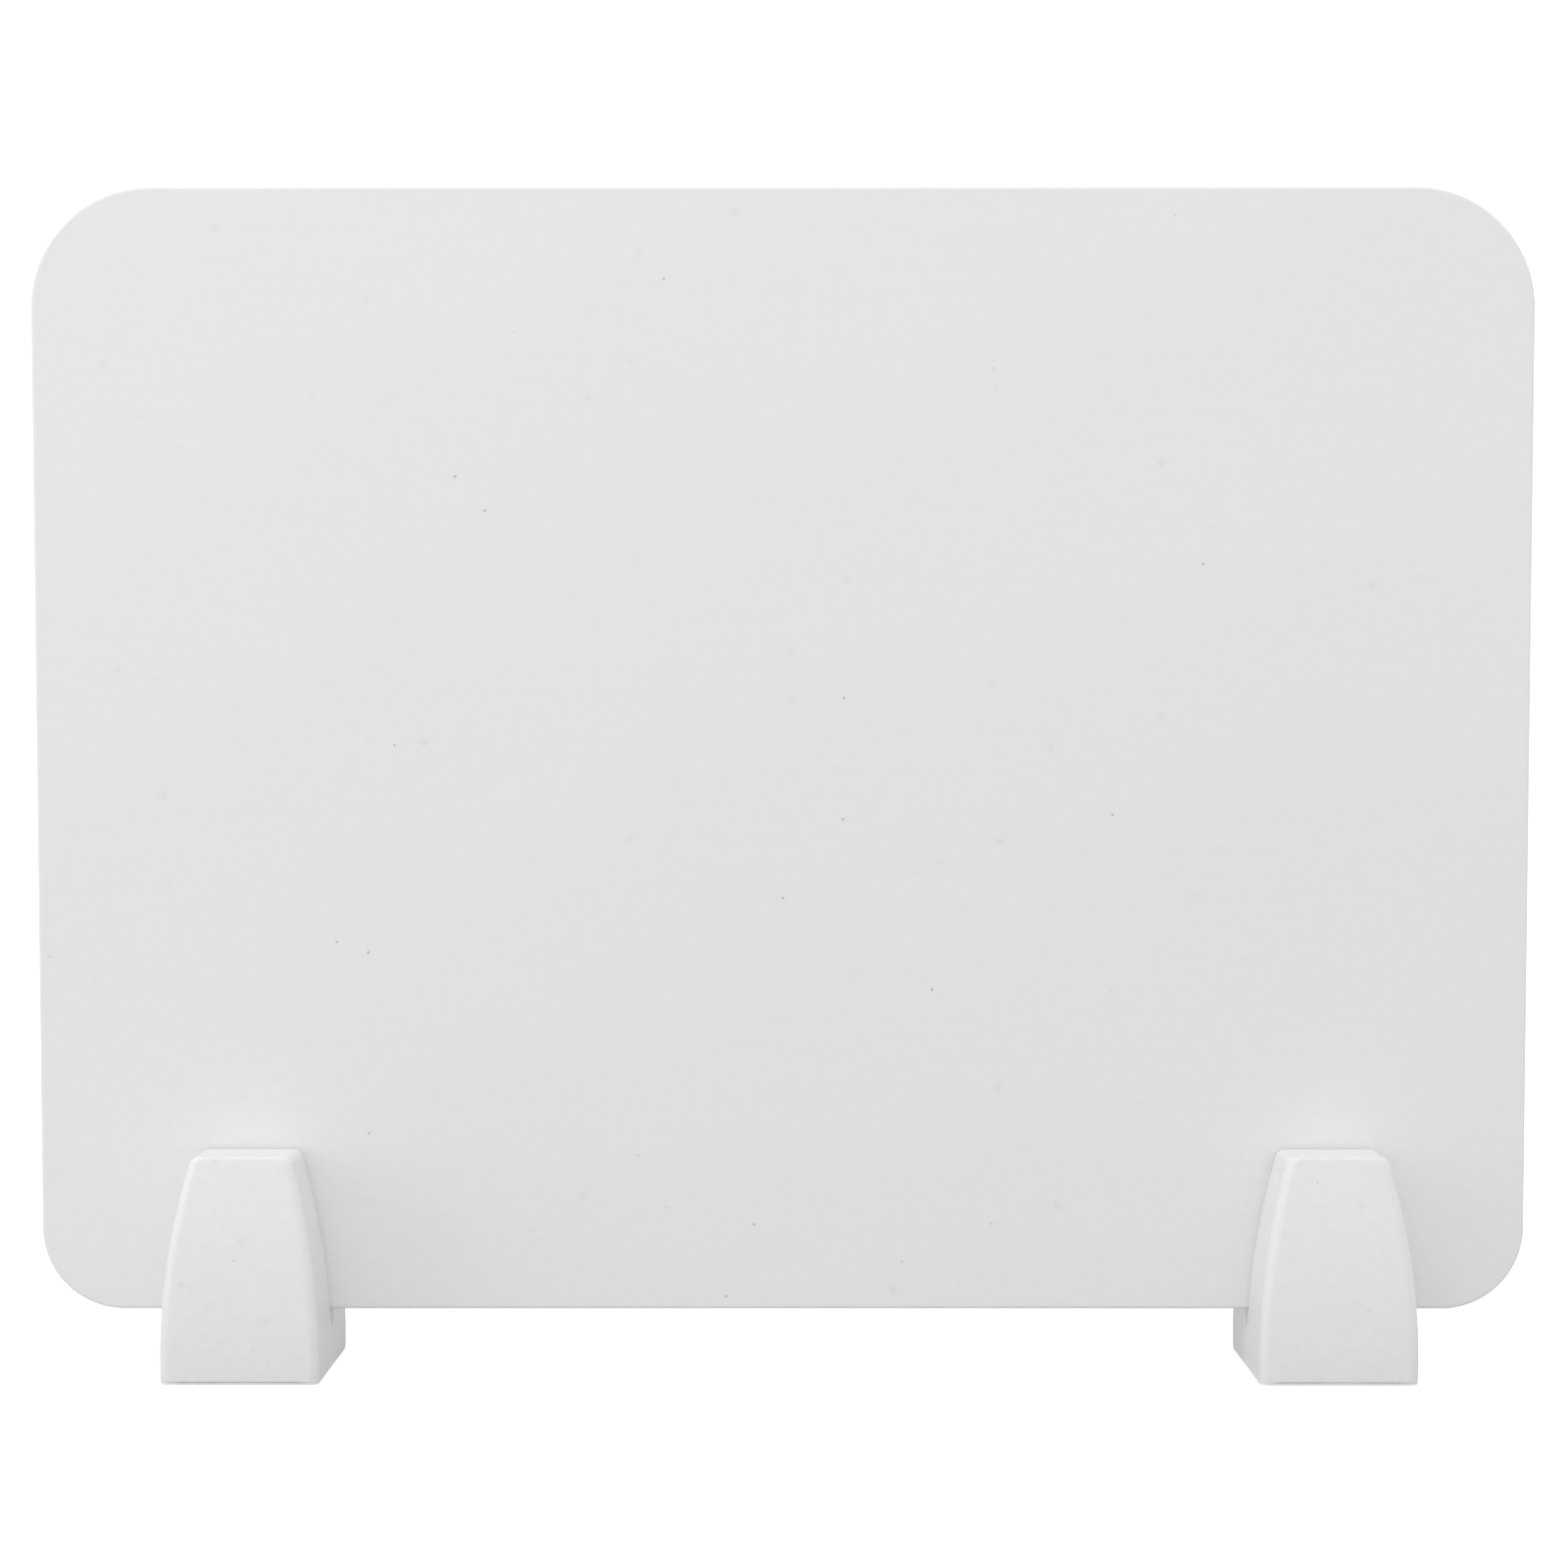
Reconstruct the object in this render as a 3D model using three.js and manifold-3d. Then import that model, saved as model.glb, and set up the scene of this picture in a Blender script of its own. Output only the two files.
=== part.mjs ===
// A free-standing privacy panel for a desk: one stiff white sheet, pushed into the slots of two moulded feet.
// Millimetres, +Z up. The origin is on the desk, below the middle of the sheet. X runs along the sheet and
// Y through its thickness. Each foot is a hollow moulding, open underneath, with a non-slip pad on its rim
// and a soft U-shaped liner in its slot.
import * as THREE from "three";
import { mergeVertices } from "three/addons/utils/BufferGeometryUtils.js";
import Module from "manifold-3d";

const wasm = await Module();
wasm.setup();

// The sheet
const PANEL_WIDTH = 400;
const PANEL_HEIGHT = 300;
const PANEL_THICKNESS = 5;
const PANEL_TOP_RADIUS = 32;
const PANEL_BOTTOM_RADIUS = 22;
const PANEL_EDGE_SOFTENING = 0.8;
const PANEL_ABOVE_DESK = 15.9;

// The feet: the outline of each is widest a little above the desk and draws in upwards along two arcs
const FOOT_PLACES = { left: -143, right: 146.5 };
const FOOT_HEIGHT = 59.4;
const FOOT_HALF_WIDTH = 21;
const FOOT_HALF_DEPTH = 31;
const FOOT_WIDEST_HEIGHT = 5.5;
const FOOT_SIDE_ARC = 190;
const FOOT_FRONT_ARC = 240;
const FOOT_CORNER_RADIUS = 2.8;
const FOOT_SIDE_ROUNDING = 1.7;
const FOOT_FRONT_ROUNDING = 0.5;
const FOOT_WALL = 2.4;
const RIB_THICKNESS = 1.6;
const RIB_OFFSET = 6.5;

// The slot in each foot, and the liner in it
const SLOT_WIDTH = 7;
const SLOT_FLOOR = 11;
const SLOT_FLOOR_RADIUS = 2.8;
const SLOT_WALL = 2.2;
const SLOT_LIP = 0.6;
const LINER_SET_BACK = 0.3;
const LINER_BELOW_TOP = 2;
const LINER_LEAD_IN = 0.35;
const PUSH_FIT_GAP = 0.15;

// The pad under each foot
const PAD_THICKNESS = 0.8;
const PAD_INSET = 0.1;

// How finely the arcs are divided
const CORNER_STEPS = 6;
const PANEL_CORNER_STEPS = 16;
const ARC_LEVELS = 12;
const ROUNDING_LEVELS = 7;
// How far a cutting body runs past the body that it cuts
const OVERRUN = 2;

const panelMaterial = new THREE.MeshStandardMaterial({ color: 0xe6e6e6, roughness: 0.62, metalness: 0 });
const footMaterial = new THREE.MeshStandardMaterial({ color: 0xececec, roughness: 0.5, metalness: 0 });
const linerMaterial = new THREE.MeshStandardMaterial({ color: 0xd0d0d0, roughness: 0.85, metalness: 0 });
const padMaterial = new THREE.MeshStandardMaterial({ color: 0xd2d2d2, roughness: 0.9, metalness: 0 });

// A closed geometry as a solid that can be joined and cut.
function solidFrom(geometry) {
  const bare = geometry.index ? geometry.toNonIndexed() : geometry.clone();
  bare.deleteAttribute("normal");
  bare.deleteAttribute("uv");
  const merged = mergeVertices(bare, 1e-4);
  return new wasm.Manifold(
    new wasm.Mesh({
      numProp: 3,
      vertProperties: new Float32Array(merged.attributes.position.array),
      triVerts: new Uint32Array(merged.index.array),
    }),
  );
}

// A solid as a geometry that a mesh can show.
function geometryFrom(solid) {
  const made = solid.getMesh();
  const geometry = new THREE.BufferGeometry();
  geometry.setAttribute("position", new THREE.BufferAttribute(made.vertProperties, 3));
  geometry.setIndex(new THREE.BufferAttribute(made.triVerts, 1));
  return geometry;
}

// A block between two corners.
function block(low, high) {
  const size = new THREE.Vector3().subVectors(high, low);
  const middle = new THREE.Vector3().addVectors(low, high).multiplyScalar(0.5);
  return new THREE.BoxGeometry(size.x, size.y, size.z).translate(middle.x, middle.y, middle.z);
}

// A rectangle about the origin with one radius for its upper corners and one for its lower corners.
function roundedRectangle(halfWidth, halfHeight, upperRadius, lowerRadius) {
  const quarter = Math.PI / 2;
  const shape = new THREE.Shape();
  const corners = [
    [1, 1, upperRadius, 0],
    [-1, 1, upperRadius, quarter],
    [-1, -1, lowerRadius, 2 * quarter],
    [1, -1, lowerRadius, 3 * quarter],
  ];
  for (const [sideX, sideY, radius, start] of corners) {
    const centreX = sideX * (halfWidth - radius);
    const centreY = sideY * (halfHeight - radius);
    shape.absarc(centreX, centreY, radius, start, start + quarter, false);
  }
  return shape;
}

// How far an arc of this radius, upright where the foot is widest, has drawn in at a height.
function drawIn(arc, height) {
  return arc - Math.sqrt(arc * arc - (height - FOOT_WIDEST_HEIGHT) ** 2);
}

// How far a rounded rim of this radius has turned in at a distance below the top.
function turnIn(radius, belowTop) {
  const up = Math.min(Math.max(radius - belowTop, 0), radius);
  return radius - Math.sqrt(radius * radius - up * up);
}

// The foot's outer form, taken in by a wall thickness, between two heights. Each level is the same rounded
// rectangle with its corners moved in. A form with a rounded rim has more levels near its top, where the
// sides turn in with one radius and the front and back with a smaller one.
function footForm(inset, bottom, top, hasRim) {
  const sideRounding = hasRim ? FOOT_SIDE_ROUNDING : 0;
  const frontRounding = hasRim ? FOOT_FRONT_ROUNDING : 0;
  const heights = [];
  for (let step = 0; step <= ARC_LEVELS; step += 1) {
    heights.push(bottom + ((top - sideRounding - bottom) * step) / ARC_LEVELS);
  }
  for (let step = 1; step <= ROUNDING_LEVELS && hasRim; step += 1) {
    const angle = (step / ROUNDING_LEVELS) * (Math.PI / 2);
    heights.push(top - sideRounding * (1 - Math.sin(angle)));
  }
  const cornerRadius = Math.max(FOOT_CORNER_RADIUS - inset, 1);
  const halfWidth = FOOT_HALF_WIDTH - inset;
  const halfDepth = FOOT_HALF_DEPTH - inset;
  const outline = roundedRectangle(halfWidth, halfDepth, cornerRadius, cornerRadius);
  const last = heights.length - 1;
  const options = { depth: last, steps: last, bevelEnabled: false, curveSegments: CORNER_STEPS };
  const geometry = new THREE.ExtrudeGeometry(outline, options);
  const position = geometry.attributes.position;
  for (let i = 0; i < position.count; i += 1) {
    const height = heights[Math.round(position.getZ(i))];
    const x = position.getX(i);
    const y = position.getY(i);
    const inX = drawIn(FOOT_SIDE_ARC, height) + turnIn(sideRounding, top - height);
    const inY = drawIn(FOOT_FRONT_ARC, height) + turnIn(frontRounding, top - height);
    position.setXYZ(i, x - Math.sign(x) * inX, y - Math.sign(y) * inY, height);
  }
  return geometry;
}

// An outline drawn in Y and Z, carried along X about the middle of the foot.
function alongX(shape, length) {
  const options = { depth: length, bevelEnabled: false, curveSegments: CORNER_STEPS };
  const geometry = new THREE.ExtrudeGeometry(shape, options);
  const xAxis = new THREE.Vector3(1, 0, 0);
  const yAxis = new THREE.Vector3(0, 1, 0);
  const zAxis = new THREE.Vector3(0, 0, 1);
  geometry.applyMatrix4(new THREE.Matrix4().makeBasis(yAxis, zAxis, xAxis));
  return geometry.translate(-length / 2, 0, 0);
}

// The slot's section: straight walls, rounded floor corners and a lip that opens a little at the top.
function slotSection() {
  const half = SLOT_WIDTH / 2;
  const floorCentre = half - SLOT_FLOOR_RADIUS;
  const floorHeight = SLOT_FLOOR + SLOT_FLOOR_RADIUS;
  const above = FOOT_HEIGHT + OVERRUN;
  const mouth = half + SLOT_LIP + OVERRUN;
  const shape = new THREE.Shape();
  shape.absarc(-floorCentre, floorHeight, SLOT_FLOOR_RADIUS, Math.PI, 1.5 * Math.PI, false);
  shape.absarc(floorCentre, floorHeight, SLOT_FLOOR_RADIUS, 1.5 * Math.PI, 2 * Math.PI, false);
  shape.lineTo(half, FOOT_HEIGHT - SLOT_LIP);
  shape.lineTo(mouth, above);
  shape.lineTo(-mouth, above);
  shape.lineTo(-half, FOOT_HEIGHT - SLOT_LIP);
  return shape;
}

// One foot moulding: the outer form, hollowed from below between the slot's walls and the ribs, then slotted.
function footShellGeometry() {
  const beyondX = FOOT_HALF_WIDTH + OVERRUN;
  const beyondY = FOOT_HALF_DEPTH + OVERRUN;
  const slotWallFace = SLOT_WIDTH / 2 + SLOT_WALL;
  const outer = solidFrom(footForm(0, PAD_THICKNESS, FOOT_HEIGHT, true));
  let hollow = solidFrom(footForm(FOOT_WALL, PAD_THICKNESS - OVERRUN, FOOT_HEIGHT - FOOT_WALL, false));
  const slotWalls = block(
    new THREE.Vector3(-beyondX, -slotWallFace, SLOT_FLOOR - SLOT_WALL),
    new THREE.Vector3(beyondX, slotWallFace, FOOT_HEIGHT),
  );
  hollow = hollow.subtract(solidFrom(slotWalls));
  for (const side of [-1, 1]) {
    const rib = block(
      new THREE.Vector3(side * RIB_OFFSET - RIB_THICKNESS / 2, -beyondY, -OVERRUN),
      new THREE.Vector3(side * RIB_OFFSET + RIB_THICKNESS / 2, beyondY, FOOT_HEIGHT),
    );
    hollow = hollow.subtract(solidFrom(rib));
  }
  const slot = solidFrom(alongX(slotSection(), 2 * beyondX));
  return geometryFrom(outer.subtract(hollow).subtract(slot));
}

// The liner: a soft U that lines the slot under and beside the sheet, with a sloped lead-in at the top. It
// runs the slot's whole length, and its ends are trimmed to the foot's sides, a little behind them.
function linerGeometry() {
  const outside = SLOT_WIDTH / 2 - PUSH_FIT_GAP;
  const inside = PANEL_THICKNESS / 2 + PUSH_FIT_GAP;
  const bottom = SLOT_FLOOR + PUSH_FIT_GAP;
  const seat = PANEL_ABOVE_DESK - PUSH_FIT_GAP;
  const top = FOOT_HEIGHT - LINER_BELOW_TOP;
  const cornerCentre = outside - SLOT_FLOOR_RADIUS;
  const cornerHeight = bottom + SLOT_FLOOR_RADIUS;
  const shape = new THREE.Shape();
  shape.absarc(-cornerCentre, cornerHeight, SLOT_FLOOR_RADIUS, Math.PI, 1.5 * Math.PI, false);
  shape.absarc(cornerCentre, cornerHeight, SLOT_FLOOR_RADIUS, 1.5 * Math.PI, 2 * Math.PI, false);
  shape.lineTo(outside, top);
  shape.lineTo(inside + LINER_LEAD_IN, top);
  shape.lineTo(inside, top - 2 * LINER_LEAD_IN);
  shape.lineTo(inside, seat);
  shape.lineTo(-inside, seat);
  shape.lineTo(-inside, top - 2 * LINER_LEAD_IN);
  shape.lineTo(-inside - LINER_LEAD_IN, top);
  shape.lineTo(-outside, top);
  const untrimmed = solidFrom(alongX(shape, 2 * FOOT_HALF_WIDTH));
  return geometryFrom(untrimmed.intersect(solidFrom(footForm(LINER_SET_BACK, 0, FOOT_HEIGHT, false))));
}

// The pad: the outline of the foot's rim, a hair smaller all round.
function padGeometry() {
  const halfWidth = FOOT_HALF_WIDTH - drawIn(FOOT_SIDE_ARC, PAD_THICKNESS) - PAD_INSET;
  const halfDepth = FOOT_HALF_DEPTH - drawIn(FOOT_FRONT_ARC, PAD_THICKNESS) - PAD_INSET;
  const radius = FOOT_CORNER_RADIUS - PAD_INSET;
  const outline = roundedRectangle(halfWidth, halfDepth, radius, radius);
  const options = { depth: PAD_THICKNESS, bevelEnabled: false, curveSegments: CORNER_STEPS };
  return new THREE.ExtrudeGeometry(outline, options);
}

// The sheet, upright, with all its edges softened inside its stated size.
function panelGeometry() {
  const outline = roundedRectangle(
    PANEL_WIDTH / 2,
    PANEL_HEIGHT / 2,
    PANEL_TOP_RADIUS,
    PANEL_BOTTOM_RADIUS,
  );
  const geometry = new THREE.ExtrudeGeometry(outline, {
    depth: PANEL_THICKNESS - 2 * PANEL_EDGE_SOFTENING,
    curveSegments: PANEL_CORNER_STEPS,
    bevelThickness: PANEL_EDGE_SOFTENING,
    bevelSize: PANEL_EDGE_SOFTENING,
    bevelOffset: -PANEL_EDGE_SOFTENING,
    bevelSegments: 3,
  });
  geometry.rotateX(Math.PI / 2);
  const halfCore = PANEL_THICKNESS / 2 - PANEL_EDGE_SOFTENING;
  return geometry.translate(0, halfCore, PANEL_ABOVE_DESK + PANEL_HEIGHT / 2);
}

function namedMesh(name, geometry, material) {
  const mesh = new THREE.Mesh(geometry, material);
  mesh.name = name;
  return mesh;
}

const privacyPanel = new THREE.Group();
privacyPanel.add(namedMesh("privacy_panel", panelGeometry(), panelMaterial));

const footShell = footShellGeometry();
const liner = linerGeometry();
const pad = padGeometry();
for (const [side, place] of Object.entries(FOOT_PLACES)) {
  const foot = new THREE.Group();
  foot.position.x = place;
  foot.add(namedMesh(`${side}_foot_shell`, footShell, footMaterial));
  foot.add(namedMesh(`${side}_grip_liner`, liner, linerMaterial));
  foot.add(namedMesh(`${side}_sole_pad`, pad, padMaterial));
  privacyPanel.add(foot);
}

export default privacyPanel;
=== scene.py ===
# %% [markdown]
# # A desk privacy panel in white plastic
# A stiff white sheet stands on a desk in two slotted feet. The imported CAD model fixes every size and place,
# so this lesson only gives each piece a fine surface and a finish. The first cell loads that model and keeps
# the box it fills, because the finished pieces have to stay inside it.
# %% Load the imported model
import math

import bpy
import numpy as np
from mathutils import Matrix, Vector, geometry


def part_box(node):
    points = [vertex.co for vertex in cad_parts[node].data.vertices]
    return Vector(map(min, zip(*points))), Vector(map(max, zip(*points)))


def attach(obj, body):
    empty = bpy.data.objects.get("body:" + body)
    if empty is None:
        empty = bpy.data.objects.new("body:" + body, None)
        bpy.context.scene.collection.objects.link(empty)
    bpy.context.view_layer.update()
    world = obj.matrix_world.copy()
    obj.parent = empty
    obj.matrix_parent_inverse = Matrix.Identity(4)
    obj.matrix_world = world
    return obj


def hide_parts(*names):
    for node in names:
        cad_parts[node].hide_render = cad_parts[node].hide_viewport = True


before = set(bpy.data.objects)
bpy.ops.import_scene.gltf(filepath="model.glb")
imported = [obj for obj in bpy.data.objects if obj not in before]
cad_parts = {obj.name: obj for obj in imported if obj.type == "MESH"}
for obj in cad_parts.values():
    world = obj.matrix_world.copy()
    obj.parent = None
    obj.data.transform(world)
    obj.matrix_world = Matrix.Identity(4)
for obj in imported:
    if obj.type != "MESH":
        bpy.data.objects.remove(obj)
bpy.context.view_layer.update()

MM = 0.001
scene = bpy.context.scene

# %% [markdown]
# ## The camera
# A product picture is taken from a little above the desk with a long lens, so that upright edges stay
# upright. The camera stands almost a metre away and looks slightly down. Its frame is shifted up a little,
# as a view camera's is, which keeps the whole sheet in the picture without tilting the camera back.
# %% Camera
CAMERA_DISTANCE = 972.5 * MM
CAMERA_HEIGHT = 166.6 * MM
CAMERA_TO_THE_RIGHT = 2.4 * MM
CAMERA_LOOKS_DOWN = math.radians(3.56)
CAMERA_TURNS_LEFT = math.radians(0.12)
LENS_MM = 83.0
SENSOR_MM = 36.0
FRAME_SHIFT = 0.122

camera_data = bpy.data.cameras.new("camera")
camera_data.lens = LENS_MM
camera_data.sensor_width = SENSOR_MM
camera_data.shift_y = FRAME_SHIFT
camera_data.clip_start = 10 * MM
camera_data.clip_end = 20
camera = bpy.data.objects.new("camera", camera_data)
camera.location = (CAMERA_TO_THE_RIGHT, -CAMERA_DISTANCE, CAMERA_HEIGHT)
camera.rotation_euler = (math.pi / 2 - CAMERA_LOOKS_DOWN, 0, CAMERA_TURNS_LEFT)
scene.collection.objects.link(camera)
scene.camera = camera
print("lens", LENS_MM, "mm at", round(CAMERA_DISTANCE / MM), "mm from the sheet")

# %% [markdown]
# ## Small helpers for meshes
# Every piece here is a surface worked out as a whole array of points. A surface made this way can come out
# with its faces pointing inwards if its rows run the wrong way, so each closed mesh is checked by its signed
# volume: it is positive when the faces point outwards.
# %% Mesh helpers
def signed_volume(mesh):
    """The sum, over all triangles, of the volume between the triangle and the origin."""
    mesh.calc_loop_triangles()
    corners = np.empty(3 * len(mesh.loop_triangles), np.int32)
    mesh.loop_triangles.foreach_get("vertices", corners)
    points = np.empty(3 * len(mesh.vertices), np.float32)
    mesh.vertices.foreach_get("co", points)
    a, b, c = points.reshape(-1, 3).astype(float)[corners.reshape(-1, 3)].transpose(1, 0, 2)
    return float(np.einsum("ij,ij->i", a, np.cross(b, c)).sum() / 6)


def add_piece(name, points, faces):
    """A smooth-shaded object at the origin, whose place is in its points, turned outwards if need be."""
    mesh = bpy.data.meshes.new(name)
    mesh.from_pydata(np.asarray(points).tolist(), [], [list(map(int, face)) for face in faces])
    if signed_volume(mesh) < 0:
        mesh.flip_normals()
    mesh.polygons.foreach_set("use_smooth", np.ones(len(mesh.polygons), bool))
    mesh.update()
    piece = bpy.data.objects.new(name, mesh)
    scene.collection.objects.link(piece)
    print(f"{name}: {len(mesh.vertices)} points, {signed_volume(mesh) / MM**3 / 1000:.1f} cm3")
    return piece


def grid_quads(rows, columns, closed):
    """The quads of a grid of points numbered row by row; a closed one joins its last column to its first."""
    spans = columns if closed else columns - 1
    row, column = np.meshgrid(np.arange(rows - 1), np.arange(spans), indexing="ij")
    here = row * columns + column
    beside = row * columns + (column + 1) % columns
    return np.stack([here, beside, beside + columns, here + columns], axis=-1).reshape(-1, 4)

# %% [markdown]
# ## The sheet
# The real sheet is cut from flat stock with round corners, larger at the top, and its cut edge is broken to
# a small radius so that it is kind to the hand. It could be a bevelled box, but a box has no round corners.
# Here one outline is carried along a short profile: in from the front face, round the edge and out to the
# back face. A second ring just inside each face keeps the face itself perfectly flat in the light.
# %% Sheet outline and edge profile
SHEET_TOP_RADIUS = 32 * MM
SHEET_BOTTOM_RADIUS = 22 * MM
SHEET_EDGE_RADIUS = 0.8 * MM
SHEET_CORNER_STEPS = 48
SHEET_EDGE_STEPS = 6
FLAT_RING = 0.15 * MM


def rounded_rectangle(half_width, half_height, upper_radius, lower_radius, inset, steps):
    """Each corner is its centre plus the radius, less the inset, times a direction that turns a quarter."""
    quarter = np.linspace(0, math.pi / 2, steps + 1)
    outline = []
    for turn, side_x, side_y in ((0, 1, 1), (1, -1, 1), (2, -1, -1), (3, 1, -1)):
        radius = upper_radius if side_y > 0 else lower_radius
        centre = np.array([side_x * (half_width - radius), side_y * (half_height - radius)])
        angle = quarter + turn * math.pi / 2
        direction = np.stack([np.cos(angle), np.sin(angle)], 1)
        outline.append(centre + (radius - inset) * direction)
    return np.concatenate(outline)


def edge_profile(thickness, radius, steps):
    """Pairs of inset and depth: a quarter turn off one face, then a quarter turn on to the other."""
    angle = np.linspace(0, math.pi / 2, steps + 1)
    inset = radius * (1 - np.sin(angle))
    depth = radius * (1 - np.cos(angle)) - thickness / 2
    near = np.stack([inset, depth], 1)
    far = near[::-1] * (1, -1)
    flat = radius + FLAT_RING
    return np.concatenate([[[flat, -thickness / 2]], near, far, [[flat, thickness / 2]]])


print("steps round each corner of the sheet:", SHEET_CORNER_STEPS)

# %% Sheet surface
def sheet_piece(name, low, high):
    """Rings of the outline, one for each step of the edge profile, closed by the two flat faces."""
    half_width = (high.x - low.x) / 2
    half_height = (high.z - low.z) / 2
    centre = (low + high) / 2
    rings = []
    for inset, depth in edge_profile(high.y - low.y, SHEET_EDGE_RADIUS, SHEET_EDGE_STEPS):
        outline = rounded_rectangle(
            half_width, half_height, SHEET_TOP_RADIUS, SHEET_BOTTOM_RADIUS, inset, SHEET_CORNER_STEPS
        )
        depths = np.full(len(outline), centre.y + depth)
        rings.append(np.stack([centre.x + outline[:, 0], depths, centre.z + outline[:, 1]], 1))
    count = len(rings[0])
    faces = grid_quads(len(rings), count, closed=True).tolist()
    faces.append(list(range(count))[::-1])
    faces.append([(len(rings) - 1) * count + i for i in range(count)])
    return add_piece(name, np.concatenate(rings), faces)


sheet = sheet_piece("sheet", *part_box("privacy_panel"))

# %% [markdown]
# ## The feet
# Each foot is one hollow moulding. Seen from the front its sides lean in along a large arc, its front and
# back lean in less, and a slot for the sheet runs through it. A cube with cuts in it would leave untidy
# faces, so the foot is built level by level. At each height a path runs from one lip of the slot round the
# front to the other lip, and the same path turned half round makes the back. Above the slot's floor the two
# paths close on themselves as two towers; below it they join into one block.
# %% Foot sizes
FOOT_SIDE_ARC = 190 * MM
FOOT_FRONT_ARC = 240 * MM
FOOT_WIDEST_HEIGHT = 5.5 * MM
FOOT_CORNER_RADIUS = 2.8 * MM
FOOT_WALL = 2.4 * MM
FOOT_CORNER_STEPS = 12
SIDE_ROUNDING = 1.7 * MM
FRONT_ROUNDING = 0.5 * MM
LIP_ROUNDING = 0.4 * MM
BASE_ROUNDING = 0.1 * MM
SLOT_HALF = 3.5 * MM
SLOT_FLOOR = 11 * MM
SLOT_FLOOR_RADIUS = 2.8 * MM
SLOT_WALL = 2.2 * MM
RIB_OFFSET = 6.5 * MM
RIB_THICKNESS = 1.6 * MM
INNER_FILLET = 0.9 * MM
INNER_STEPS = 3
LEVELS_BELOW_SLOT = 7
LEVELS_ABOVE_SLOT = 22
FILLET_STEPS = 8
RIM_STEPS = 14
CELL_LEVELS_BELOW_SLOT = 5
CELL_LEVELS_ABOVE_SLOT = 14


def drawn_in(arc, height):
    """How far an arc that is upright at the foot's widest height has moved inwards at a height."""
    return arc - np.sqrt(arc**2 - (height - FOOT_WIDEST_HEIGHT) ** 2)


def turned_in(radius, below_top):
    """How far a rounded edge of this radius has moved inwards at a distance below the top."""
    up = np.clip(radius - below_top, 0, radius)
    return radius - np.sqrt(radius**2 - up**2)


foot_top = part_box("left_foot_shell")[1].z
print("a foot's side draws in by", round(drawn_in(FOOT_SIDE_ARC, foot_top) / MM, 1), "mm up to its top")

# %% Foot towers joined below a slot
def slotted_form(height, left, right, depth, gap, corner, steps):
    """Points by level: from the slot's left lip round the front to its right lip, then turned half round."""
    angle = np.linspace(math.pi, 1.5 * math.pi, steps + 1)
    cos, sin = corner * np.cos(angle), corner * np.sin(angle)
    left, right, depth, gap = (np.asarray(size)[:, None] * np.ones(1) for size in (left, right, depth, gap))
    x = np.concatenate([left, left + corner + cos, right - corner - sin, right], 1)
    y = np.concatenate([-gap, corner - depth + sin, corner - depth + cos, -gap], 1)
    x = np.concatenate([x, left + right - x], 1)
    y = np.concatenate([y, -y], 1)
    return np.stack([x, y, np.broadcast_to(np.asarray(height)[:, None], x.shape)], -1)


def slotted_faces(levels, columns, floor_level):
    """Outward faces: the walls, the block's ends below the slot, the slot's walls and floor, the tops."""
    half = columns // 2
    walls = grid_quads(levels, columns, closed=True).reshape(levels - 1, columns, 4)
    sides = np.ones(columns, bool)
    sides[[half - 1, columns - 1]] = False
    faces = walls[:, sides].reshape(-1, 4).tolist()
    faces += walls[:floor_level, ~sides].reshape(-1, 4).tolist()
    for first, last in ((0, half - 1), (half, columns - 1)):
        start = np.arange(floor_level, levels - 1) * columns
        slot_wall = [start + last, start + first, start + first + columns, start + last + columns]
        faces += np.stack(slot_wall, 1).tolist()
        faces.append([(levels - 1) * columns + i for i in range(first, last + 1)])
    floor = floor_level * columns
    faces.append([floor, floor + half - 1, floor + half, floor + columns - 1])
    return faces


# %% Foot levels
def foot_levels(bottom, top):
    """Heights from the base to the slot's floor, round its fillet, up the walls and round the rim."""
    fillet_turn = np.linspace(0, math.pi / 2, FILLET_STEPS + 1)[1:-1]
    rim_turn = np.linspace(0, math.pi / 2, RIM_STEPS + 1)[1:]
    below = np.linspace(bottom, SLOT_FLOOR, LEVELS_BELOW_SLOT)
    fillet = SLOT_FLOOR + SLOT_FLOOR_RADIUS * (1 - np.cos(fillet_turn))
    above = np.linspace(SLOT_FLOOR + SLOT_FLOOR_RADIUS, top - SIDE_ROUNDING, LEVELS_ABOVE_SLOT)
    rim = top - SIDE_ROUNDING * (1 - np.sin(rim_turn))
    return np.concatenate([below, fillet, above, rim]), LEVELS_BELOW_SLOT - 1


def half_gap(height, top):
    """Half the slot's width: a fillet at its floor, straight walls, and lips that open at the top."""
    up = np.clip(SLOT_FLOOR + SLOT_FLOOR_RADIUS - height, 0, SLOT_FLOOR_RADIUS)
    fillet = SLOT_FLOOR_RADIUS - np.sqrt(SLOT_FLOOR_RADIUS**2 - up**2)
    return SLOT_HALF - fillet + turned_in(LIP_ROUNDING, top - height)


def foot_outside(low, high):
    """The outer form between a CAD foot's lowest and highest corners, centred on x = 0."""
    height, floor_level = foot_levels(low.z, high.z)
    below_top = high.z - height
    half_width = (high.x - low.x) / 2 - drawn_in(FOOT_SIDE_ARC, height)
    half_width = half_width - turned_in(SIDE_ROUNDING, below_top)
    half_depth = (high.y - low.y) / 2 - drawn_in(FOOT_FRONT_ARC, height)
    half_depth = half_depth - turned_in(FRONT_ROUNDING, below_top)
    gap = half_gap(height, high.z)
    form = slotted_form(
        height, -half_width, half_width, half_depth, gap, FOOT_CORNER_RADIUS, FOOT_CORNER_STEPS
    )
    return form, floor_level


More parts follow.
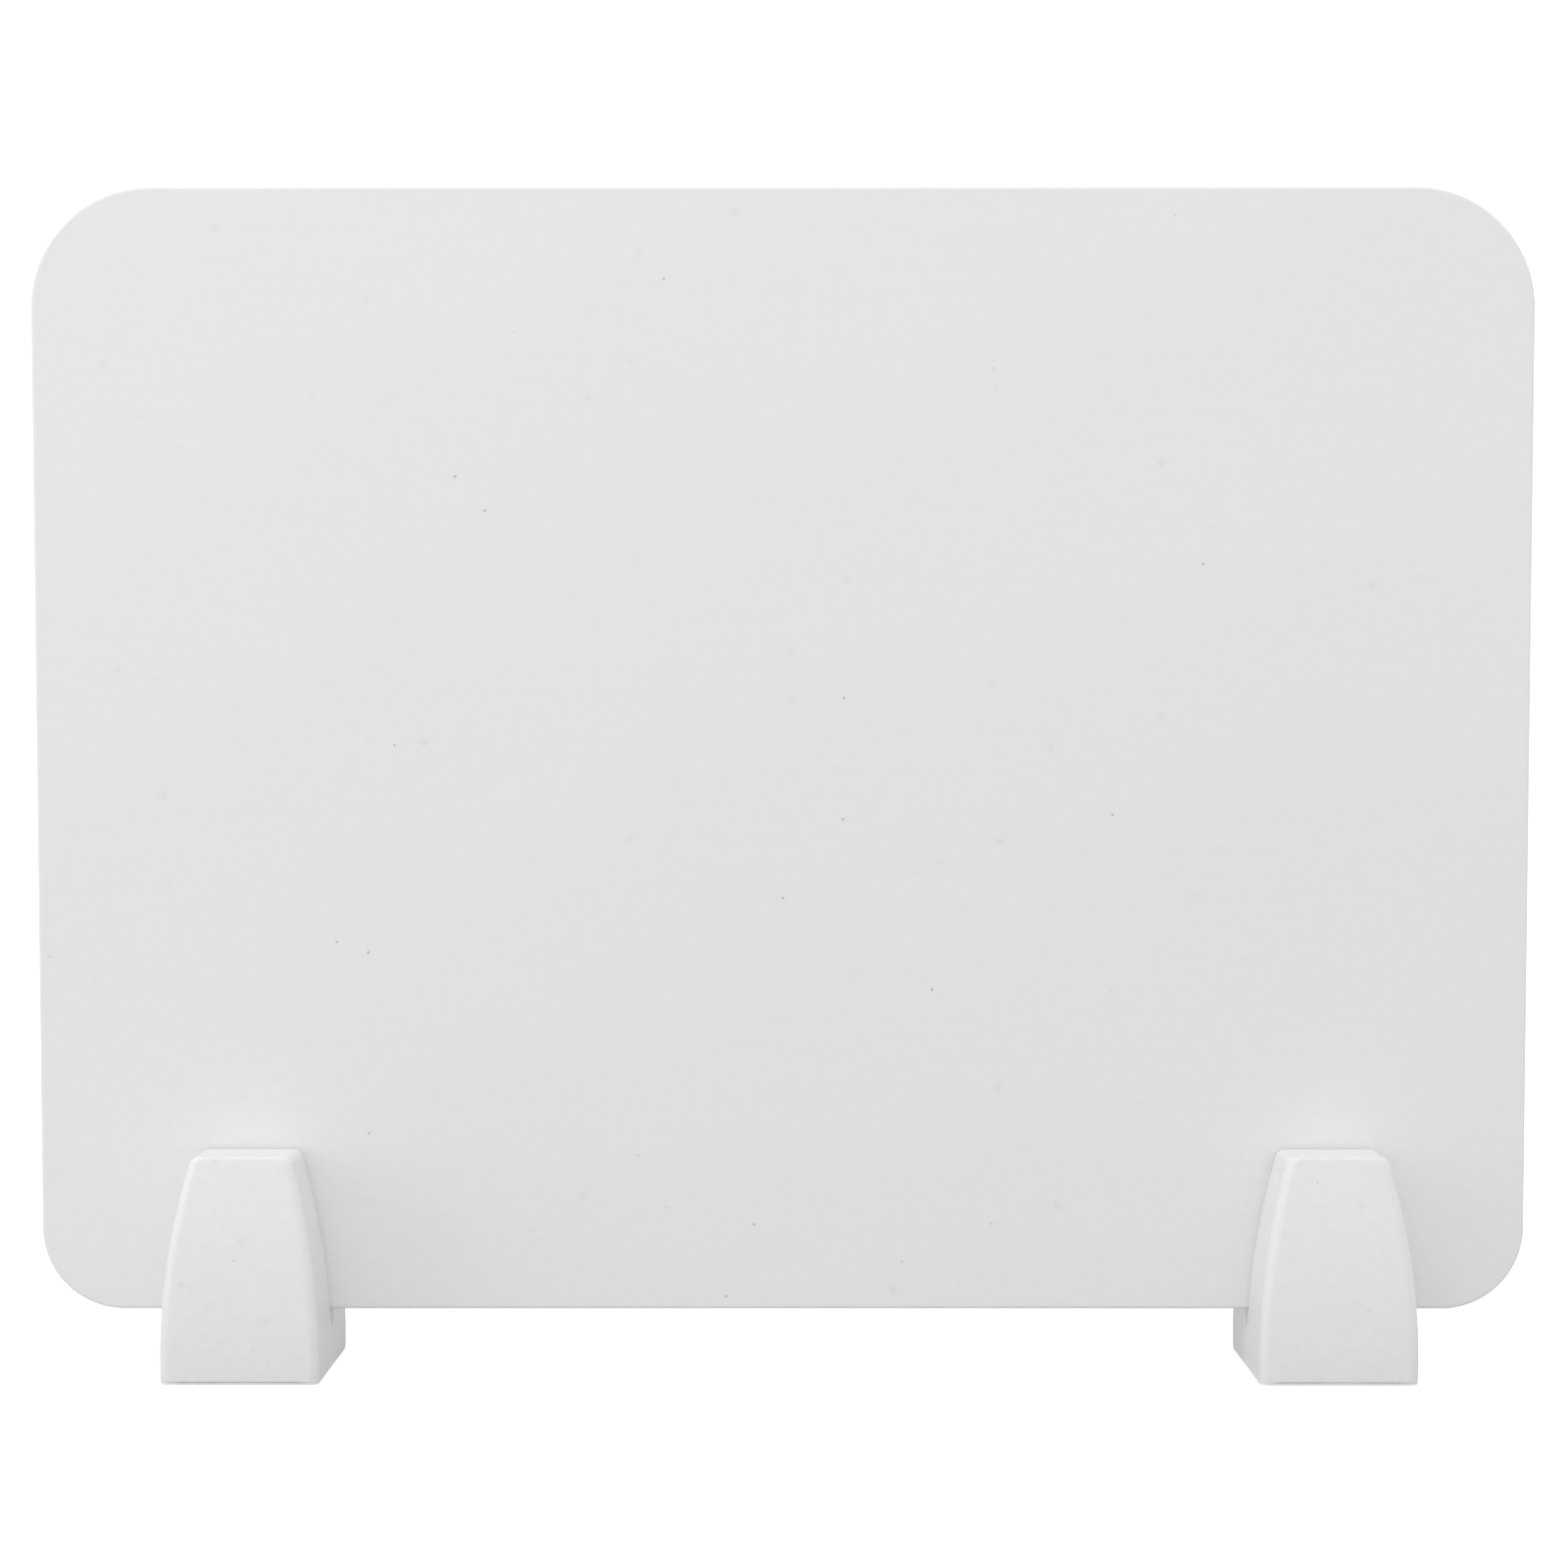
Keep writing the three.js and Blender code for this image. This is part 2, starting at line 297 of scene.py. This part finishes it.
def foot_cell(low, high, column):
    """One of three hollows side by side: it rises on both sides of the slot and passes under its floor."""
    ceiling = SLOT_FLOOR - SLOT_WALL
    below = np.linspace(low.z, ceiling, CELL_LEVELS_BELOW_SLOT)
    above = np.linspace(ceiling, high.z - FOOT_WALL, CELL_LEVELS_ABOVE_SLOT)[1:]
    height = np.concatenate([below, above])
    wall = (high.x - low.x) / 2 - drawn_in(FOOT_SIDE_ARC, height) - FOOT_WALL
    rib = np.full(len(height), RIB_OFFSET + (abs(column) - 0.5) * RIB_THICKNESS)
    left = {-1: -wall, 0: -rib, 1: rib}[column]
    right = {-1: -rib, 0: rib, 1: wall}[column]
    depth = (high.y - low.y) / 2 - drawn_in(FOOT_FRONT_ARC, height) - FOOT_WALL
    gap = np.full(len(height), SLOT_HALF + SLOT_WALL)
    cell = slotted_form(height, left, right, depth, gap, INNER_FILLET, INNER_STEPS)
    return cell, CELL_LEVELS_BELOW_SLOT - 1


# %% [markdown]
# The rim under the foot is a flat face with three openings. Blender can fill an outline with holes in it, so
# the outer path and the mouths of the three cells go to its filler together. The upper rim is already round,
# level by level: soft at the sides, tighter in front, tightest at the slot's lips. That leaves the slot's
# edges where it comes out at the foot's sides, and the base. A Bevel modifier that reads a weight on each
# edge rounds only those and leaves the arcs alone. Weighted normals then keep the big faces evenly lit.
# %% Foot shell
BEVEL_SEGMENTS = 4
FLAT_FACE_WEIGHT = 80


def edge_weights(mesh, levels, columns, floor_level):
    """Bevel weights, as shares of the lips' rounding, for the edges of the outer form."""
    ends = np.empty(2 * len(mesh.edges), np.int64)
    mesh.edges.foreach_get("vertices", ends)
    ends = np.sort(ends.reshape(-1, 2), axis=1)
    level, column = np.divmod(ends, columns)
    half = columns // 2
    outer = (ends < levels * columns).all(1)
    lips = np.isin(column, [0, half - 1, half, columns - 1]).all(1)
    along_lip = lips & (column[:, 0] == column[:, 1]) & (level >= floor_level).all(1)
    joins = np.isin(column, [half - 1, half]).all(1) | np.isin(column, [0, columns - 1]).all(1)
    floor_end = joins & (column[:, 0] != column[:, 1]) & (level == floor_level).all(1)
    weight = np.where(outer & (along_lip | floor_end), 1.0, 0.0)
    weight[outer & (level == 0).all(1)] = BASE_ROUNDING / LIP_ROUNDING
    return weight


def foot_piece(name, low, high):
    """The outer form and three hollows turned inside out, joined at the rim, moved to the foot's place."""
    outside, floor_level = foot_outside(low, high)
    levels, columns = outside.shape[:2]
    points, faces = [outside.reshape(-1, 3)], slotted_faces(levels, columns, floor_level)
    mouths, numbers, count = [outside[0]], [np.arange(columns)], levels * columns
    for column in (-1, 0, 1):
        cell, ceiling_level = foot_cell(low, high, column)
        faces += [[count + i for i in face[::-1]] for face in slotted_faces(*cell.shape[:2], ceiling_level)]
        points.append(cell.reshape(-1, 3))
        mouths.append(cell[0])
        numbers.append(count + np.arange(cell.shape[1]))
        count += cell.shape[0] * cell.shape[1]
    points, numbers = np.concatenate(points), np.concatenate(numbers)
    for triangle in geometry.tessellate_polygon([[Vector(p) for p in mouth] for mouth in mouths]):
        a, b, c = (points[numbers[i]] for i in triangle)
        upwards = np.cross(b - a, c - a)[2] > 0
        faces.append([int(numbers[i]) for i in (triangle[::-1] if upwards else triangle)])
    points[:, 0] += (low.x + high.x) / 2
    points[:, 1] += (low.y + high.y) / 2
    piece = add_piece(name, points, faces)
    weights = piece.data.attributes.new("bevel_weight_edge", "FLOAT", "EDGE")
    weights.data.foreach_set("value", edge_weights(piece.data, levels, columns, floor_level))
    rounding = piece.modifiers.new("rounded edges", "BEVEL")
    rounding.limit_method = "WEIGHT"
    rounding.width = LIP_ROUNDING
    rounding.segments = BEVEL_SEGMENTS
    rounding.use_clamp_overlap = False
    piece.modifiers.new("flat faces stay flat", "WEIGHTED_NORMAL").weight = FLAT_FACE_WEIGHT
    return piece


feet = {side: foot_piece(f"{side}_foot", *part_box(f"{side}_foot_shell")) for side in ("left", "right")}

# %% [markdown]
# ## The grip liners
# A soft channel lines each slot and squeezes the sheet's lower edge. It is a length of one section whose
# ends are trimmed to the foot's sides, so the section is carried along X and each of its heights has its own
# length. Two matched paths, one outside and one inside, let the ends be closed by a strip of small faces.
# Its outer walls carry fine ridges, as rubber channels do, which show when a foot is pulled off.
# %% Liner section carried along X
LINER_RIDGE = 0.12 * MM
LINER_RIDGE_PITCH = 1.8 * MM
LINER_WALL = 0.7 * MM
LINER_SEAT = 4.6 * MM
LINER_END_ROUNDING = 0.15 * MM
LINER_END_SEGMENTS = 2
LINER_CORNER_ANGLE = math.radians(40)
LINER_WALL_STEPS = 139
LINER_TURN_STEPS = 8


def liner_paths(low, high):
    """Outside: down a ridged wall, round under and up again. Inside: down, along the seat and up again."""
    outside = (high.y - low.y) / 2
    radius = SLOT_FLOOR_RADIUS
    rise = np.linspace(high.z, low.z + radius, LINER_WALL_STEPS + 1)
    ridge = LINER_RIDGE * (0.5 - 0.5 * np.cos(2 * math.pi * (rise - rise[-1]) / LINER_RIDGE_PITCH))
    wall = np.stack([ridge - outside, rise], 1)
    turn = np.linspace(math.pi, 1.5 * math.pi, LINER_TURN_STEPS + 1)[1:]
    under = np.stack([radius - outside + radius * np.cos(turn), low.z + radius + radius * np.sin(turn)], 1)
    half = np.concatenate([wall, under])
    outer = np.concatenate([half, half[::-1] * (-1, 1)])
    seat = low.z + LINER_SEAT
    length = np.concatenate([[0], np.cumsum(np.linalg.norm(np.diff(outer, axis=0), axis=1))])
    first, last = length[outer[:, 1] < seat][[0, -1]]
    along_seat = np.clip((length - first) / (last - first), 0, 1) * 2 - 1
    lead = np.clip(LINER_WALL / 2 - (high.z - outer[:, 1]) / 2, 0, None)
    inner_y = along_seat * (outside - LINER_WALL + lead)
    return outer, np.stack([inner_y, np.maximum(outer[:, 1], seat)], 1)


def liner_piece(name, low, high):
    """Both paths at the two ends, whose distance apart follows the foot's sides up, joined and closed."""
    outer, inner = liner_paths(low, high)
    section = np.concatenate([outer, inner[::-1]])
    half_length = (high.x - low.x) / 2 + drawn_in(FOOT_SIDE_ARC, low.z)
    half_length = half_length - drawn_in(FOOT_SIDE_ARC, section[:, 1])
    points = np.concatenate([np.column_stack([side * half_length, section]) for side in (-1, 1)])
    points[:, :2] += ((low.x + high.x) / 2, (low.y + high.y) / 2)
    faces = grid_quads(2, len(section), closed=True).tolist()
    step = np.arange(len(outer) - 1)
    end = np.stack([step, step + 1, len(section) - 2 - step, len(section) - 1 - step], 1)
    faces += end[:, ::-1].tolist() + (end + len(section)).tolist()
    piece = add_piece(name, points, faces)
    rounding = piece.modifiers.new("softened ends", "BEVEL")
    rounding.width = LINER_END_ROUNDING
    rounding.segments = LINER_END_SEGMENTS
    rounding.angle_limit = LINER_CORNER_ANGLE
    piece.modifiers.new("flat faces stay flat", "WEIGHTED_NORMAL").weight = FLAT_FACE_WEIGHT
    return piece


liners = {side: liner_piece(f"{side}_liner", *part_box(f"{side}_grip_liner")) for side in ("left", "right")}

# %% [markdown]
# ## The sole pads
# A thin sheet of closed-cell foam is stuck under each foot. It is die-cut, so its outline is the foot's rim
# a hair smaller and its edge is square, only just softened by the cutter. The sheet's own functions make it:
# an outline carried along an edge profile, laid flat.
# %% Sole pads
PAD_CORNER_RADIUS = 2.7 * MM
PAD_EDGE_RADIUS = 0.06 * MM
PAD_CORNER_STEPS = 10
PAD_EDGE_STEPS = 3


def pad_piece(name, low, high):
    """Rings of a rounded rectangle, as on the sheet, with the profile's depth running up, not back."""
    half_width = (high.x - low.x) / 2
    half_depth = (high.y - low.y) / 2
    centre = (low + high) / 2
    rings = []
    for inset, depth in edge_profile(high.z - low.z, PAD_EDGE_RADIUS, PAD_EDGE_STEPS):
        outline = rounded_rectangle(
            half_width, half_depth, PAD_CORNER_RADIUS, PAD_CORNER_RADIUS, inset, PAD_CORNER_STEPS
        )
        heights = np.full(len(outline), centre.z + depth)
        rings.append(np.column_stack([outline + (centre.x, centre.y), heights]))
    count = len(rings[0])
    faces = grid_quads(len(rings), count, closed=True).tolist()
    faces.append(list(range(count))[::-1])
    faces.append([(len(rings) - 1) * count + i for i in range(count)])
    return add_piece(name, np.concatenate(rings), faces)


pads = {side: pad_piece(f"{side}_pad", *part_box(f"{side}_sole_pad")) for side in ("left", "right")}

# %% [markdown]
# ## Finishes
# All four materials are plain white or grey plastic, rubber or foam, and such a surface is told by its
# small faults. The tone drifts a little over a hand's width, with faint streaks along the piece and a fine
# mottling. The skin has a fine grain that breaks up the light, and a slow swell, because no such skin is
# perfectly flat. Here and there sit a dark speck, a short scratch and a soft smudge. Each finish is the same
# recipe with its own sizes, so one function builds it. The patterns are worked out in Object coordinates, so
# each one stays where it is on its piece.
# %% Node helpers
def new_finish(name, roughness, specular):
    """A material with its Principled shader, and a short way to add and wire nodes."""
    finish = bpy.data.materials.new(name)
    finish.use_nodes = True
    nodes = finish.node_tree.nodes
    nodes.clear()
    output = nodes.new("ShaderNodeOutputMaterial")
    shader = nodes.new("ShaderNodeBsdfPrincipled")
    shader.inputs["Roughness"].default_value = roughness
    shader.inputs["Specular IOR Level"].default_value = specular
    finish.node_tree.links.new(shader.outputs["BSDF"], output.inputs["Surface"])
    return finish, shader


def add_node(finish, kind, settings=None, **inputs):
    """A node whose named inputs are values, or are wired when they are another node's output."""
    node = finish.node_tree.nodes.new(kind)
    for name, value in (settings or {}).items():
        setattr(node, name, value)
    for name, value in inputs.items():
        socket = node.inputs[int(name[1:])] if name[0] == "i" and name[1:].isdigit() else node.inputs[name]
        if isinstance(value, bpy.types.NodeSocket):
            finish.node_tree.links.new(value, socket)
        else:
            socket.default_value = value
    return node


def noise(finish, where, feature, detail=2.0):
    """Smooth noise whose blobs are about one feature across."""
    return add_node(
        finish, "ShaderNodeTexNoise", Vector=where, Scale=1 / feature, Detail=detail, Roughness=0.5
    ).outputs["Fac"]


def sparse_spots(finish, where, spacing, radius, share, core):
    """1 within core of the radius from a cell's centre, 0 past the radius, in a share of the cells."""
    cells = add_node(finish, "ShaderNodeTexVoronoi", Vector=where, Scale=1 / spacing, Randomness=1.0)
    edge = radius / spacing
    near = add_node(finish, "ShaderNodeMapRange", i0=cells.outputs["Distance"], i1=edge, i2=core * edge)
    chosen = add_node(finish, "ShaderNodeSeparateColor", i0=cells.outputs["Color"])
    kept = add_node(finish, "ShaderNodeMath", {"operation": "LESS_THAN"}, i0=chosen.outputs[0], i1=share)
    return add_node(
        finish, "ShaderNodeMath", {"operation": "MULTIPLY"}, i0=near.outputs[0], i1=kept.outputs[0]
    ).outputs[0]


def darkened(finish, value, spot, amount):
    """The value, less the amount where there is a spot."""
    loss = add_node(finish, "ShaderNodeMath", {"operation": "MULTIPLY"}, i0=spot, i1=amount)
    return add_node(
        finish, "ShaderNodeMath", {"operation": "SUBTRACT"}, i0=value, i1=loss.outputs[0]
    ).outputs[0]


# %% Sizes and strengths of the small faults
DRIFT_SIZE = 90 * MM
DRIFT_SHARE = 0.015
STREAK_WIDTH = 3 * MM
STREAK_STRETCH = (0.05, 1.0, 1.0)
STREAK_LOSS = 0.012
MOTTLE_SIZE = 3 * MM
SPECK_LOSS = 0.4
SCRATCH_STRETCH = (0.16, 1.0, 1.0)
SCRATCH_TILT = math.radians(17)
SCRATCH_LOSS = 0.25
SMUDGE_LOSS = 0.07
ROUGHNESS_SHARE = 0.08
SWELL_SIZE = 14 * MM
SWELL_DEPTH = 0.012 * MM
SPECK_DEPTH = 0.05 * MM
print("drift over", round(DRIFT_SIZE / MM), "mm, streaks", round(STREAK_WIDTH / MM), "mm wide")


# %% Moulded and cut plastics
def plastic(name, tone, roughness, specular, mottle, grain, grain_depth, specks, scratches, smudges):
    """A drifting, streaked and mottled tone, less each kind of spot, over a grain, a swell and small pits.

    Specks, scratches and smudges are each a spacing, a radius and the share of cells that has one.
    """
    finish, shader = new_finish(name, roughness, specular)
    where = add_node(finish, "ShaderNodeTexCoord").outputs["Object"]
    drifted = add_node(
        finish, "ShaderNodeMapRange", i0=noise(finish, where, DRIFT_SIZE, 3.0),
        i3=tone * (1 - DRIFT_SHARE), i4=tone * (1 + DRIFT_SHARE),
    )
    along = add_node(finish, "ShaderNodeMapping", Vector=where, Scale=STREAK_STRETCH)
    streak = noise(finish, along.outputs[0], STREAK_WIDTH, 2.0)
    value = darkened(finish, drifted.outputs[0], streak, STREAK_LOSS)
    value = darkened(finish, value, noise(finish, where, MOTTLE_SIZE, 1.0), mottle)
    tilted = add_node(
        finish, "ShaderNodeMapping", {"vector_type": "TEXTURE"}, Vector=where,
        Rotation=(0, SCRATCH_TILT, 0), Scale=tuple(1 / size for size in SCRATCH_STRETCH),
    )
    scratch = sparse_spots(finish, tilted.outputs[0], *scratches, core=0.6)
    speck = sparse_spots(finish, where, *specks, core=0.4)
    smudge = sparse_spots(finish, where, *smudges, core=0.0)
    value = darkened(finish, value, speck, SPECK_LOSS * tone)
    value = darkened(finish, value, scratch, SCRATCH_LOSS * tone)
    value = darkened(finish, value, smudge, SMUDGE_LOSS * tone)
    colour = add_node(finish, "ShaderNodeCombineColor", i0=value, i1=value, i2=value)
    finish.node_tree.links.new(colour.outputs[0], shader.inputs["Base Color"])
    fine = noise(finish, where, grain, 2.0)
    rough = add_node(
        finish, "ShaderNodeMapRange", i0=fine,
        i3=roughness * (1 - ROUGHNESS_SHARE), i4=roughness * (1 + ROUGHNESS_SHARE),
    )
    finish.node_tree.links.new(rough.outputs[0], shader.inputs["Roughness"])
    waves = noise(finish, where, SWELL_SIZE, 1.0)
    relief = add_node(finish, "ShaderNodeBump", Height=fine, Distance=grain_depth, Strength=1.0)
    swell = add_node(
        finish, "ShaderNodeBump", Height=waves, Distance=SWELL_DEPTH, Strength=1.0, Normal=relief.outputs[0]
    )
    pit = add_node(
        finish, "ShaderNodeBump", {"invert": True}, Height=speck, Distance=SPECK_DEPTH, Strength=1.0,
        Normal=swell.outputs[0],
    )
    finish.node_tree.links.new(pit.outputs[0], shader.inputs["Normal"])
    return finish


sheet_white = plastic(
    "sheet_white", 0.87, 0.6, 0.4, mottle=0.03, grain=0.7 * MM, grain_depth=0.006 * MM,
    specks=(8 * MM, 0.5 * MM, 0.1), scratches=(9 * MM, 0.2 * MM, 0.12), smudges=(14 * MM, 1.6 * MM, 0.3),
)
foot_white = plastic(
    "foot_white", 0.868, 0.48, 0.5, mottle=0.045, grain=0.45 * MM, grain_depth=0.006 * MM,
    specks=(5 * MM, 0.35 * MM, 0.2), scratches=(7 * MM, 0.15 * MM, 0.15), smudges=(8 * MM, 1.5 * MM, 0.3),
)
grip_rubber = plastic(
    "liner_grey", 0.79, 0.8, 0.3, mottle=0.03, grain=0.3 * MM, grain_depth=0.01 * MM,
    specks=(3 * MM, 0.2 * MM, 0.3), scratches=(6 * MM, 0.15 * MM, 0.2), smudges=(5 * MM, 1.2 * MM, 0.4),
)
sole_foam = plastic(
    "pad_grey", 0.89, 0.9, 0.2, mottle=0.03, grain=0.25 * MM, grain_depth=0.03 * MM,
    specks=(1.2 * MM, 0.2 * MM, 0.8), scratches=(6 * MM, 0.15 * MM, 0.2), smudges=(5 * MM, 1.2 * MM, 0.4),
)
print("finishes:", [finish.name for finish in (sheet_white, foot_white, grip_rubber, sole_foam)])

# %% [markdown]
# ## Putting each piece on its body
# A piece moves with the CAD body that it is part of, stands in for the CAD node of the same part, which is
# hidden, and takes the finish that it is given.
# %% Bodies, nodes and finishes
def place(piece, finish, body, node, slot):
    """Give a piece its finish and its body, and hide the CAD node that it stands for; the slot is not used.
    """
    piece.data.materials.append(finish)
    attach(piece, body)
    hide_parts(node)
    print(f"{piece.name} rides on {body} in {finish.name}")


place(sheet, sheet_white, "panel", "privacy_panel", "panel_sheet")
for side in ("left", "right"):
    place(feet[side], foot_white, f"{side}_foot", f"{side}_foot_shell", "foot_plastic")
    place(liners[side], grip_rubber, f"{side}_grip", f"{side}_grip_liner", "grip_rubber")
    place(pads[side], sole_foam, f"{side}_foot", f"{side}_sole_pad", "sole_foam")

# %% [markdown]
# ## The studio
# White goods are shown in a white room. The floor is a wide disc of paper whose rim curves up into a wall
# all round, so every side of the object has the same plain ground behind it. The paper glows a little, as a
# light table does, which washes out the object's shadow on it. Only the camera sees the paper, so it lights
# nothing. The light that a floor sends back up comes from two other things. A round grey table just under
# the paper, which the camera doesn't see, takes the object's shadow and so sends back less light close to
# the feet. Past the table's edge the lower half of the world gives the rest.
# %% Floor and wall in one sweep
FLOOR_RADIUS = 3.0
FLOOR_RINGS = (0.02, 1.5)
FLOOR_SIDES = 96
COVE_RADIUS = 1.5
COVE_STEPS = 16
WALL_HEIGHT = 5.0
PAPER_TONE = 0.9
PAPER_GLOW = 0.5
MATT = 0.9
FAINT_GLOSS = 0.1

rise = np.linspace(0, math.pi / 2, COVE_STEPS + 1)
cove_out = FLOOR_RADIUS + COVE_RADIUS * np.sin(rise)
profile_radius = np.concatenate([FLOOR_RINGS, cove_out, [FLOOR_RADIUS + COVE_RADIUS]])
profile_height = np.concatenate([[0, 0], COVE_RADIUS * (1 - np.cos(rise)), [WALL_HEIGHT]])
round_angle = np.linspace(0, 2 * math.pi, FLOOR_SIDES + 1)[:-1]
cove = np.stack(
    [
        profile_radius[:, None] * np.cos(round_angle),
        profile_radius[:, None] * np.sin(round_angle),
        np.broadcast_to(profile_height[:, None], (len(profile_height), len(round_angle))),
    ],
    -1,
).reshape(-1, 3)
cove_faces = grid_quads(len(profile_height), len(round_angle), closed=True)[:, ::-1].tolist()
cove_faces.append(list(range(len(round_angle))))
floor_mesh = bpy.data.meshes.new("floor")
floor_mesh.from_pydata(cove.tolist(), [], cove_faces)
floor_mesh.polygons.foreach_set("use_smooth", np.ones(len(floor_mesh.polygons), bool))
floor = bpy.data.objects.new("floor", floor_mesh)
floor.visible_diffuse = False
floor.visible_glossy = False
floor.visible_shadow = False
scene.collection.objects.link(floor)
paper, paper_shader = new_finish("studio_paper", MATT, FAINT_GLOSS)
paper_shader.inputs["Base Color"].default_value = (PAPER_TONE, PAPER_TONE, PAPER_TONE, 1)
paper_shader.inputs["Emission Color"].default_value = (1, 1, 1, 1)
paper_shader.inputs["Emission Strength"].default_value = PAPER_GLOW
floor_mesh.materials.append(paper)
print("floor:", len(floor_mesh.vertices), "points,", FLOOR_RADIUS, "m to the foot of the wall")

# %% Table under the paper
TABLE_RADIUS = 0.6
TABLE_TONE = 0.55
TABLE_DROP = 1.0 * MM

rim = TABLE_RADIUS * np.stack([np.cos(round_angle), np.sin(round_angle)], 1)
table_mesh = bpy.data.meshes.new("table")
table_top = np.column_stack([rim, np.full(len(rim), -TABLE_DROP)])
table_mesh.from_pydata(table_top.tolist(), [], [list(range(len(rim)))])
table = bpy.data.objects.new("table", table_mesh)
table.visible_camera = False
scene.collection.objects.link(table)
table_grey, table_shader = new_finish("table_grey", MATT, FAINT_GLOSS)
table_shader.inputs["Base Color"].default_value = (TABLE_TONE, TABLE_TONE, TABLE_TONE, 1)
table_mesh.materials.append(table_grey)
print("table: radius", TABLE_RADIUS, "m, tone", TABLE_TONE)

# %% World
LIGHT_FROM_ABOVE = 0.93
LIGHT_FROM_BELOW = 0.70
HORIZON_BAND = 0.02

world = bpy.data.worlds.new("white room")
world.use_nodes = True
direction = add_node(world, "ShaderNodeTexCoord").outputs["Generated"]
height = add_node(world, "ShaderNodeSeparateXYZ", i0=direction).outputs["Z"]
strength = add_node(
    world, "ShaderNodeMapRange", i0=height, i1=-HORIZON_BAND, i2=0.0,
    i3=LIGHT_FROM_BELOW, i4=LIGHT_FROM_ABOVE,
)
background = world.node_tree.nodes["Background"]
background.inputs["Color"].default_value = (1, 1, 1, 1)
world.node_tree.links.new(strength.outputs[0], background.inputs["Strength"])
scene.world = world
print("world:", LIGHT_FROM_ABOVE, "above the horizon,", LIGHT_FROM_BELOW, "below")

# %% Two softboxes
LAMP_AIM = Vector((0, 0, 0.1))


def softbox(name, place, size, power):
    """A square lamp that faces the sheet and that the camera doesn't see."""
    lamp = bpy.data.lights.new(name, "AREA")
    lamp.shape = "SQUARE"
    lamp.size = size
    lamp.energy = power
    body = bpy.data.objects.new(name, lamp)
    body.location = place
    body.rotation_euler = (LAMP_AIM - Vector(place)).to_track_quat("-Z", "Y").to_euler()
    body.visible_camera = False
    scene.collection.objects.link(body)


softbox("left softbox", (-1.4, -0.45, 0.4), size=0.9, power=2.9)
softbox("overhead softbox", (-0.25, -0.6, 1.4), size=0.9, power=3.6)
scene.view_settings.view_transform = "Standard"
scene.view_settings.look = "None"
